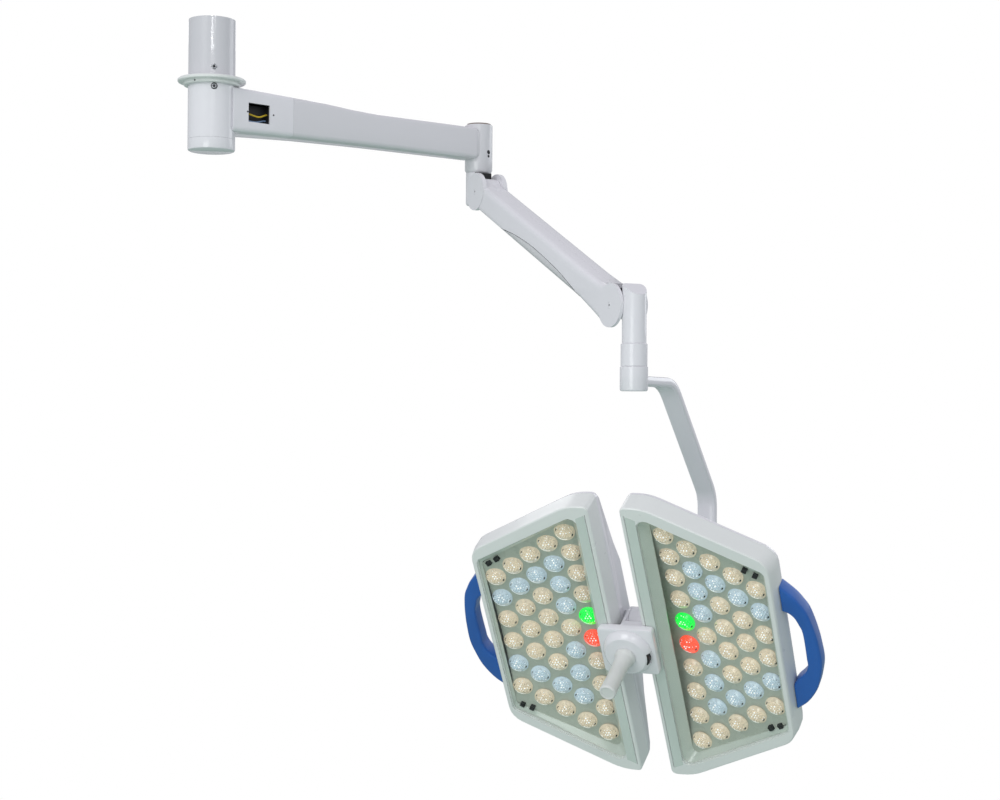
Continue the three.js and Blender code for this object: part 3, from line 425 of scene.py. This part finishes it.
# Painted highlights on the lenses: where the glowing glints gather, and the glowing arc along the rim.
GLINT_CENTRE, GLINT_NEAR = 4, 7
HIGHLIGHT_ARC_RADIUS, HIGHLIGHT_ARC_START, HIGHLIGHT_ARC_SWEEP = 16.0, 192, 88
DISH_SLOPE = 0.156
DISH_TILT = math.atan(DISH_SLOPE)
# Insets of the well from the module's inner, sloped and outer edges.
WELL_UPPER, WELL_LOWER, WELL_OUTSIDE = (25.4, 22.4, 9.4), (41, 31.4, 14), (24.0, 21.0, 8.0)
WELL_TOP = 60.8
SENSORS = [(230, 168.5, 27), (247.5, 158.5, 27), (231, -170, -27), (249, -163.5, -27)]
BACK_SCREWS = [(44, 116), (44, -116), (188, 90), (188, -90)]
VENT_COUNT, VENT_FIRST, VENT_STEP = 9, 66, 14
# Colours of the lenses in each column, from the top: w warm, c cool, g green, r red.
LENS_COLOURS = ["wwwwgrwwww", "wcccwcccw", "wcwwwwcw", "wcwwwcw", "wcwwcw"]


def dish(x, y):
    """Height of the lens board at a point of the module."""
    return 3.5 + DISH_SLOPE * abs(x) + y * y / 2084


def module_corners(side, inset_inner, inset_slope, inset_outer):
    """The four corners of a module's outline, moved inwards by an inset for each kind of edge."""
    inner, outer = MODULE["inner"] + inset_inner, MODULE["outer"] - inset_outer
    lift = inset_slope * math.hypot(1, SLOPE)
    height = [MODULE["inner_half"] - SLOPE * (x - MODULE["inner"]) - lift for x in (inner, outer)]
    corners = [(inner, height[0]), (outer, height[1]), (outer, -height[1]), (inner, -height[0])]
    return [(side * x, y) for x, y in corners]


def add_lens(shape, painted_glints, x, y, side, chance):
    """One clear dome on a moulded foot, with cut facet bumps over its crown. Glowing white caps on some bumps and a
    glowing arc along part of the rim are painted highlights; they go into a second shape.
    """
    place = Matrix.Translation((x, y, dish(x, y))) @ Matrix.Rotation(-side * DISH_TILT, 4, "Y")
    edge, crown, rise = DOME["edge"], DOME["crown"], DOME["rise"]
    sphere = (edge**2 + rise**2) / (2 * rise)

    def dome_height(reach):
        return crown - sphere + math.sqrt(sphere**2 - reach**2)

    radius = LENS["radius"]
    dome = [(edge * k / 7, dome_height(edge * k / 7)) for k in range(1, 8)]
    foot = [(radius - 1.0, 2.5), (radius - 0.2, 2.0), (radius - 0.2, 0.0), (0, 0.0)]
    shape.lathe([(0, crown)] + dome + foot, 30, place)
    for row in range(-2, 4):
        for column in range(-3, 4):
            bx = FACET_SPACING * (column + 0.5 * (row % 2)) + chance.uniform(-FACET_JITTER, FACET_JITTER)
            by = FACET_SPACING * 0.866 * row + 1.5 + chance.uniform(-FACET_JITTER, FACET_JITTER)
            reach = math.hypot(bx, by)
            if reach > FACET_REACH:
                continue
            here = Vector((bx, by, dome_height(reach)))
            foot_place = place @ turned_axis(here, Vector((bx, by, sphere - crown + here.z)))
            shape.lathe([(0, 1.7), (1.3, 1.35), (2.2, 0.5), (2.45, -0.6), (0, -0.7)], 6, foot_place)
            # Some bumps get a glowing white cap, more of them near GLINT_CENTRE: painted glints.
            near = math.hypot(bx, by - GLINT_CENTRE) < GLINT_NEAR
            if chance.random() < (0.85 if near else 0.3):
                glint = chance.uniform(0.7, 1.1) * (1.35 if near else 0.9)
                painted_glints.lathe([(0, 2.3), (0.9 * glint, 1.95), (1.3 * glint, 1.0), (0, 0.9)], 6, foot_place)
    # A glowing arc along part of the dome's rim: a painted highlight.
    highlight_arc = []
    for k in range(13):
        angle = math.radians(HIGHLIGHT_ARC_START + HIGHLIGHT_ARC_SWEEP * k / 12)
        swell = math.sin(math.pi * (k + 0.6) / 13.2)
        half = 0.25 + 0.55 * swell
        middle, base = HIGHLIGHT_ARC_RADIUS, dome_height(HIGHLIGHT_ARC_RADIUS)
        section = [(middle - half, 0.0), (middle, 0.5), (middle + half, -0.1), (middle, -0.9)]
        highlight_arc.append([(r * math.cos(angle), r * math.sin(angle), base + h) for r, h in section])
    painted_glints.loft(highlight_arc, place)
    return place


def lens_pins(shape, place):
    """The two dark oval clip pockets of a lens, on its rim."""
    for angle in (-24, 156):
        turn = Matrix.Rotation(math.radians(angle), 4, "Z")
        stretch = Matrix.Diagonal((1.15, 1.75, 1, 1))
        pin = [(0, 1.3), (1.2, 1.2), (1.6, 0.7), (1.6, -1.5), (0, -1.5)]
        shape.lathe(pin, 14, place @ turn @ Matrix.Translation((14.6, 0, 4.4)) @ stretch)


def build_module(side, name):
    """Everything drawn on one lamp module: lenses, board, well, sensors, inner strip and back cover details."""
    by_colour = {key: Shape(HEAD) for key in "wcgr"}
    pins, painted_glints = Shape(HEAD), Shape(HEAD)
    chance = random.Random(7 + side)
    for column, colours in enumerate(LENS_COLOURS):
        for row, key in enumerate(colours):
            x = side * (LENS["first"] + column * LENS["step"])
            y = ((len(colours) - 1) / 2 - row) * LENS["pitch"]
            lens_pins(pins, add_lens(by_colour[key], painted_glints, x, y, side, chance))
    full = {"w": "warm", "c": "cool", "g": "green", "r": "red"}
    for key, shape in by_colour.items():
        shape.piece(f"{name}_lenses_{full[key]}", lens_finishes[full[key]], "lamp_head", "lens_clear")
    # The painted glints and highlight arcs, in a glowing white finish.
    painted_glints.piece(f"{name}_lens_facets", glint_glow_finish, "lamp_head", "lens_clear", sharp=20)
    pins.piece(f"{name}_lens_clips", materials["black_plastic"], "lamp_head", "black_plastic")

    # The board under the lenses, curved like a shallow dish.
    board = Shape(HEAD)
    stations, half = 40, 262
    rings = []
    for k in range(stations + 1):
        y = -half + 2 * half * k / stations
        reach = min(half, MODULE["inner"] + (MODULE["inner_half"] - 34 - abs(y)) / SLOPE)
        xs = [59 + (max(reach, 70) - 59) * t / 10 for t in range(11)]
        top = [(side * x, y, dish(x, y)) for x in xs]
        low = [(side * x, y, dish(x, y) - 3) for x in reversed(xs)]
        ring = top + low
        rings.append(ring if side < 0 else list(reversed(ring)))
    board.loft(rings)
    board.piece(f"{name}_lens_board", board_finish, "lamp_head", "lens_clear", (f"{name}_lens_plate",))

    # The well: a glossy wall from the edge of the opening down to the board.
    well = Shape(HEAD)
    upper = rounded_outline(module_corners(side, *WELL_UPPER), 14)
    lower = rounded_outline(module_corners(side, *WELL_LOWER), 9)
    outside = rounded_outline(module_corners(side, *WELL_OUTSIDE), 14)
    sheet = [
        at(upper, WELL_TOP),
        [(x, y, dish(x, y) + 1.2) for x, y in lower],
        [(x, y, dish(x, y) - 1.0) for x, y in lower],
        at(outside, WELL_TOP - 1),
        at(outside, WELL_TOP),
    ]
    sheet.append(sheet[0])
    well.loft(sheet, caps=False)
    well.piece(f"{name}_well", well_finish, "lamp_head", "white_plastic")

    # Black sensor windows in pairs just inside the corners of the opening.
    sensors = Shape(HEAD)
    for u, v, turn in SENSORS:
        place = Matrix.Translation((side * u, v, 0)) @ Matrix.Rotation(math.radians(-side * turn), 4, "Z")
        outline = rounded_outline([(-4.6, -4.4), (4.6, -4.4), (4.6, 4.4), (-4.6, 4.4)], 0.8, 4)
        inner = rounded_outline([(-3.7, -3.5), (3.7, -3.5), (3.7, 3.5), (-3.7, 3.5)], 0.5, 4)
        sensors.loft([at(outline, dish(u, v) - 1), at(outline, 60.2), at(inner, 60.6), at(inner, 60.0)], place)
    sensors.piece(f"{name}_sensors", sensor_finish, "lamp_head", "black_plastic")

    # The glossy strip along the rail beside the spine.
    strip = Shape(HEAD)
    edge = [(36.9, 272), (38, 274.5), (54.6, 267), (54.6, -267), (38, -274.5), (36.9, -272)]
    strip.loft([at([(side * x, y) for x, y in edge], n) for n in (66.6, 67.3)])
    strip.piece(f"{name}_inner_strip", strip_finish, "lamp_head", "white_plastic")

    # The back cover: ventilation slots between raised fins, and four screws.
    slots, fins, screws = Shape(HEAD), Shape(HEAD), Shape(HEAD)
    for k in range(VENT_COUNT):
        x = VENT_FIRST + VENT_STEP * k
        reach = 92 - 0.13 * (x - VENT_FIRST)
        low, high = sorted((side * (x - 3), side * (x + 3)))
        slots.block((low, -reach, -26.35), (high, reach, -25.6))
        for edge in (low - 1.2, high):
            fins.block((edge, -reach - 1.2, -27.6), (edge + 1.2, reach + 1.2, -25.6))
    head = [(0, -1.0), (1.9, -1.0), (2.4, 0.2), (4.2, 0.2), (4.6, -0.3), (4.6, -2.2), (0, -2.2)]
    for u, v in BACK_SCREWS:
        screws.lathe(head, 20, turned_axis((side * u, v, -26.8), (0, 0, -1)))
    slots.piece(f"{name}_vent_slots", materials["black_plastic"], "lamp_head", "black_plastic")
    fins.piece(f"{name}_vent_fins", materials["white_paint"], "lamp_head", "white_paint", bevel=0.3)
    screws.piece(f"{name}_back_screws", materials["steel"], "lamp_head", "steel")


build_module(-1, "left")
build_module(1, "right")


# ---------------------------------------------------------------- grips: rounded bars
def spline(points, count):
    """Catmull-Rom points through the given ones."""
    rows = [Vector(p) for p in points]
    rows = [rows[0] * 2 - rows[1]] + rows + [rows[-1] * 2 - rows[-2]]
    spans = len(points) - 1
    result = []
    for k in range(count + 1):
        place = min(k * spans / count, spans - 1e-9)
        i, t = int(place), place - int(place)
        a, b, c, d = rows[i:i + 4]
        square, cube = 2 * a - 5 * b + 4 * c - d, 3 * b - a - 3 * c + d
        result.append(0.5 * (2 * b + (c - a) * t + square * t * t + cube * t**3))
    return result


def even_steps(points, count):
    """Resamples a polyline at even distances along it."""
    travelled = [0.0]
    for before, after in zip(points, points[1:]):
        travelled.append(travelled[-1] + (after - before).length)
    result = []
    for k in range(count + 1):
        wanted = travelled[-1] * k / count
        i = min(next((n for n, d in enumerate(travelled) if d > wanted), len(points) - 1), len(points) - 1)
        span = travelled[i] - travelled[i - 1]
        share = (wanted - travelled[i - 1]) / span
        result.append(points[i - 1].lerp(points[i], min(share, 1.0)))
    return result


GRIP_OUTER = [(281.3, 128), (293, 117), (305, 104), (314, 90), (322, 75), (328, 52), (332, 29), (334.5, 7), (336, -30),
              (331, -58), (321, -88), (302, -116), (281.3, -133)]
GRIP_INNER = [(281.3, 76), (291, 71.5), (299.5, 62), (305, 48), (308.6, 37), (310, 17), (310, -23), (310, -37),
              (305, -51), (297, -61), (288, -70), (281.3, -79)]


def build_grip(side, name):
    """A flat-faced bar with rounded edges: rounded sections between the outer and the inner curve."""
    low, high, radius, stations = 15.2, 44.8, 5.0, 60
    outer = even_steps(spline(GRIP_OUTER, 240), stations)
    inner = even_steps(spline(GRIP_INNER, 240), stations)
    rings = []
    for far, near in zip(outer, inner):
        across = far - near
        section = rounded_outline([(0, low), (across.length, low), (across.length, high), (0, high)], radius, 5)
        points = [(near + across * (s / across.length), n) for s, n in section]
        rings.append([(side * p.x, p.y, n) for p, n in points])
    grip = Shape(HEAD)
    grip.loft(rings)
    grip.piece(f"{name}_grip_bar", materials["blue_plastic"], "lamp_head", "blue_plastic", (f"{name}_grip",), sharp=50)


build_grip(-1, "left")
build_grip(1, "right")

# The handle's rounded end rim.
handle_rim = Shape(HEAD)
handle_rim.lathe([(10.8, 200.6), (11.4, 202.0), (12.8, 202.2), (13.8, 201.2), (13.8, 200.2), (10.8, 200.2)], 40)
handle_rim.piece("handle_rim", materials["handle_plastic"], "handle", "handle_plastic")


# ---------------------------------------------------------------- arm window, screws and cables
def tube(shape, points, radius, count=120, sides=14):
    """A smooth round cable through the points."""
    path = spline(points, count)
    rings = []
    for i, here in enumerate(path):
        along = (path[min(i + 1, count)] - path[max(i - 1, 0)]).normalized()
        across = along.cross(Vector((0, 0, 1))).normalized()
        up = across.cross(along)
        turns = [2 * math.pi * k / sides for k in range(sides)]
        rings.append([tuple(here + across * radius * math.cos(a) + up * radius * math.sin(a)) for a in turns])
    shape.loft(rings)


CABLES = {
    "yellow": [(38, 4, -162), (54, -14, -166), (70, -26, -174), (86, -28, -177), (104, -25, -171), (130, -12, -167),
               (180, -4, -170), (300, 4, -174), (450, 4, -174), (560, 3, -172), (600, 2, -168)],
    "blue": [(38, 12, -174), (58, -12, -182), (80, -24, -187), (104, -20, -182), (140, -6, -183), (200, -10, -186),
             (350, -8, -188), (500, -8, -188), (600, -6, -184)],
}
WIRE_RADIUS = 1.6
for colour, points in CABLES.items():
    cable = Shape(PART)
    tube(cable, points, WIRE_RADIUS)
    cable.piece(f"{colour}_wire", materials[f"{colour}_jacket"], "horizontal_arm_group", f"{colour}_jacket",
                (f"cable_{colour}",))

# The dark tray behind the service window: a back and four walls, each 1 mm thick.
WINDOW_LEFT, WINDOW_RIGHT, WINDOW_BOTTOM, WINDOW_TOP = 57, 105, -190, -154
TRAY_FRONT, TRAY_BACK = -31.5, -14
tray = Shape(PART)
tray.block((WINDOW_LEFT - 1, TRAY_BACK - 1, WINDOW_BOTTOM - 1), (WINDOW_RIGHT + 1, TRAY_BACK, WINDOW_TOP + 1))
tray.block((WINDOW_LEFT - 1, TRAY_FRONT, WINDOW_TOP), (WINDOW_RIGHT + 1, TRAY_BACK, WINDOW_TOP + 1))
tray.block((WINDOW_LEFT - 1, TRAY_FRONT, WINDOW_BOTTOM - 1), (WINDOW_RIGHT + 1, TRAY_BACK, WINDOW_BOTTOM))
tray.block((WINDOW_LEFT - 1, TRAY_FRONT, WINDOW_BOTTOM), (WINDOW_LEFT, TRAY_BACK, WINDOW_TOP))
tray.block((WINDOW_RIGHT, TRAY_FRONT, WINDOW_BOTTOM), (WINDOW_RIGHT + 1, TRAY_BACK, WINDOW_TOP))
tray.piece("window_tray", materials["black_plastic"], "horizontal_arm_group", "black_plastic")
window_screws = Shape(PART)
for x, surface_y in ((54.8, -40.65), (113.2, -36.4)):
    window_screws.lathe([(0, 0.5), (1.2, 0.5), (1.7, 0.2), (1.7, -0.8), (0, -0.8)], 16,
                        turned_axis((x, surface_y, -171.5), (0, -1, 0)))
window_screws.piece("window_screws", materials["dark_steel"], "horizontal_arm_group", "dark_steel")


# Bright socket heads on the screws of the tube and the hub, and dark rims on the elbow's set screws.
def level_direction(degrees):
    return (math.cos(math.radians(degrees)), math.sin(math.radians(degrees)), 0)


SCREW_DIRECTION = level_direction(-112)
for name, height, face, body in (("tube", -95, 44.6, "ceiling_end"), ("hub", -131.5, 45.1, "horizontal_arm_group")):
    bright, dark = Shape(PART), Shape(PART)
    place = turned_axis((face * SCREW_DIRECTION[0], face * SCREW_DIRECTION[1], height), SCREW_DIRECTION)
    bright.lathe([(2.3, -0.6), (2.3, 0.35), (2.8, 0.6), (4.4, 0.6), (4.9, 0.3), (4.9, -0.6)], 28, place)
    dark.lathe([(0, 0.15), (2.25, 0.15), (2.25, -0.5), (0, -0.5)], 20, place)
    if name == "hub":
        dark.lathe([(5.0, -0.9), (5.0, 0.25), (6.2, 0.0), (6.2, -1.6)], 28, place)
    bright.piece(f"{name}_screw_face", worn_steel, body, "steel")
    dark.piece(f"{name}_screw_socket", materials["dark_steel"], body, "dark_steel")
elbow_rims = Shape(PART)
ELBOW_SCREW_DIRECTION = level_direction(-80)
for height, radius in ((-190, 4.4), (-198.4, 3.0)):
    place = turned_axis((elbow_pos[0] / MM + 29 * ELBOW_SCREW_DIRECTION[0], 29 * ELBOW_SCREW_DIRECTION[1], height),
                        ELBOW_SCREW_DIRECTION)
    elbow_rims.lathe([(0, 0.25), (radius - 0.6, 0.25), (radius, 0.0), (radius, -1.2), (0, -1.2)], 20, place)
elbow_rims.piece("elbow_screw_rims", materials["dark_steel"], "horizontal_arm_group", "dark_steel")

# ---------------------------------------------------------------- spring arm: pin caps, seam lines and painted shade in the slots
ARM_LENGTH = (far_pos - Vector(pitch_pos)).length / MM
CASING_HALF = 28.5
cap_profile = [(0, -0.9), (1.9, -0.9), (1.9, 0.15), (5.5, 0.15), (6.1, -0.3), (6.1, -1.4), (0, -1.4)]
dot_profile = [(0, -0.25), (1.85, -0.25), (1.85, -1.2), (0, -1.2)]
for name, x, body in (("root", 0, "elbow_group"), ("end", ARM_LENGTH, "spring_arm_group")):
    caps, dots = Shape(SPRING_ARM), Shape(SPRING_ARM)
    for side in (-1, 1):
        place = turned_axis((x, side * CASING_HALF, 0), (0, side, 0))
        caps.lathe(cap_profile, 28, place)
        dots.lathe(dot_profile, 16, place)
    caps.piece(f"{name}_pin_caps", materials["white_paint"], body, "white_paint")
    dots.piece(f"{name}_pin_sockets", materials["black_plastic"], body, "black_plastic")

COVER_SEAM = [(133.5, -30), (201, -18), (278, -12), (346, -12.5), (412, -16), (464, -23), (498.5, -30)]
seam_line = Shape(SPRING_ARM)


def casing_side(z):
    """Half width of the spring arm's casing at a height, with its rounded lower edge."""
    return CASING_HALF if z > -21 else 18.5 + math.sqrt(max(0.0, 100 - (z + 21) ** 2))


SEAM_SECTION = ((-0.3, -0.1), (0.12, -0.1), (0.12, 0.6), (-0.3, 0.6))
for side in (-1, 1):
    rings = []
    for x, z in even_steps(spline(COVER_SEAM, 90), 60):
        rings.append([(x, side * (casing_side(z) + y), z + dz) for y, dz in SEAM_SECTION])
    seam_line.loft(rings)
seam_line.piece("cover_seam", materials["dark_steel"], "spring_arm_group", "dark_steel")

# Black sheets inside the slots of the root and end knuckles, where shade falls: painted shade.
root_shade_sheet = Shape(ELBOW)
root_shade_sheet.block((21.4, -19.3, -262), (22.4, 19.3, -233.5))
root_shade_sheet.piece("root_slot_painted_shade", materials["black_plastic"], "elbow_group", "black_plastic")
end_shade_sheet = Shape(SPRING_ARM)
for side in (-1, 1):
    place = turned_axis((ARM_LENGTH, side * 22.35, 0), (0, side, 0))
    end_shade_sheet.lathe([(0, 0), (34, 0), (34, -0.9), (0, -0.9)], 40, place)
end_shade_sheet.piece("end_slot_painted_shade", materials["black_plastic"], "spring_arm_group", "black_plastic")

# ---------------------------------------------------------------- light, floor and surroundings
world = bpy.data.worlds.new("surroundings")
bpy.context.scene.world = world
world.use_nodes = True
tree = world.node_tree
tree.nodes.clear()
soft = tree.nodes.new("ShaderNodeBackground")
soft.inputs["Color"].default_value = (0.93, 0.94, 1.0, 1)
soft.inputs["Strength"].default_value = 0.60
backdrop = tree.nodes.new("ShaderNodeBackground")
backdrop.inputs["Color"].default_value = (1, 1, 1, 1)
backdrop.inputs["Strength"].default_value = 1.0
path = tree.nodes.new("ShaderNodeLightPath")
mix = tree.nodes.new("ShaderNodeMixShader")
output = tree.nodes.new("ShaderNodeOutputWorld")
tree.links.new(path.outputs["Is Camera Ray"], mix.inputs["Fac"])
tree.links.new(soft.outputs["Background"], mix.inputs[1])
tree.links.new(backdrop.outputs["Background"], mix.inputs[2])
tree.links.new(mix.outputs["Shader"], output.inputs["Surface"])

# The floor shows white to the camera, and its own pale green only tints what it lights.
FLOOR_RADIUS, FLOOR_HEIGHT, FLOOR_SIDES = 12000, -2250, 64
floor_turns = [2 * math.pi * k / FLOOR_SIDES for k in range(FLOOR_SIDES)]
floor_shape = [(FLOOR_RADIUS * math.cos(a), FLOOR_RADIUS * math.sin(a), FLOOR_HEIGHT) for a in floor_turns]
floor_mesh = bpy.data.meshes.new("floor")
floor_mesh.from_pydata([tuple(PART @ Vector(p)) for p in floor_shape], [], [tuple(range(FLOOR_SIDES))])
floor = bpy.data.objects.new("floor", floor_mesh)
bpy.context.scene.collection.objects.link(floor)
nodes = Nodes("floor_finish")
diffuse = nodes.add("ShaderNodeBsdfDiffuse")
diffuse.inputs["Color"].default_value = (0.42, 0.53, 0.47, 1)
bright = nodes.add("ShaderNodeEmission")
bright.inputs["Color"].default_value = (1, 1, 1, 1)
bright.inputs["Strength"].default_value = 1.0
path = nodes.add("ShaderNodeLightPath")
mix = nodes.add("ShaderNodeMixShader")
nodes.link(path.outputs["Is Camera Ray"], mix.inputs["Fac"])
nodes.link(diffuse.outputs["BSDF"], mix.inputs[1])
nodes.link(bright.outputs["Emission"], mix.inputs[2])
nodes.link(mix.outputs["Shader"], nodes.output.inputs["Surface"])
floor_mesh.materials.append(nodes.material)


def lamp(name, place, target, size, energy, color=(1, 1, 1)):
    data = bpy.data.lights.new(name, "AREA")
    data.shape = "RECTANGLE"
    data.size, data.size_y = size
    data.energy = energy
    data.color = color
    light = bpy.data.objects.new(name, data)
    bpy.context.scene.collection.objects.link(light)
    light.location = place
    light.rotation_euler = (Vector(target) - Vector(place)).to_track_quat("-Z", "Y").to_euler()
    light.visible_camera = False


lamp("key", (-3.8, -1.7, 2.2), (0.4, -0.4, -0.8), (2.4, 2.4), 56)
lamp("front", (-3.0, -2.3, -1.3), (0.5, -0.5, -1.0), (2.0, 2.0), 30, (0.97, 1.0, 0.98))
lamp("fill", (3.9, -0.5, 0.6), (0.5, -0.5, -0.8), (2.2, 2.2), 20, (0.95, 0.97, 1.0))
lamp("rear", (2.0, 3.6, 1.8), (0.4, -0.3, -0.7), (2.0, 2.0), 18)
for k, spot in enumerate([(-1.9, -3.6, 0.9), (-1.1, -4.0, 1.1), (-1.6, -3.9, 1.6)]):
    lamp(f"sparkle_{k + 1}", spot, (0.5, -0.6, -1.1), (0.35, 0.35), 6)

scene = bpy.context.scene
scene.view_settings.view_transform = "Standard"
scene.view_settings.exposure = 0.0
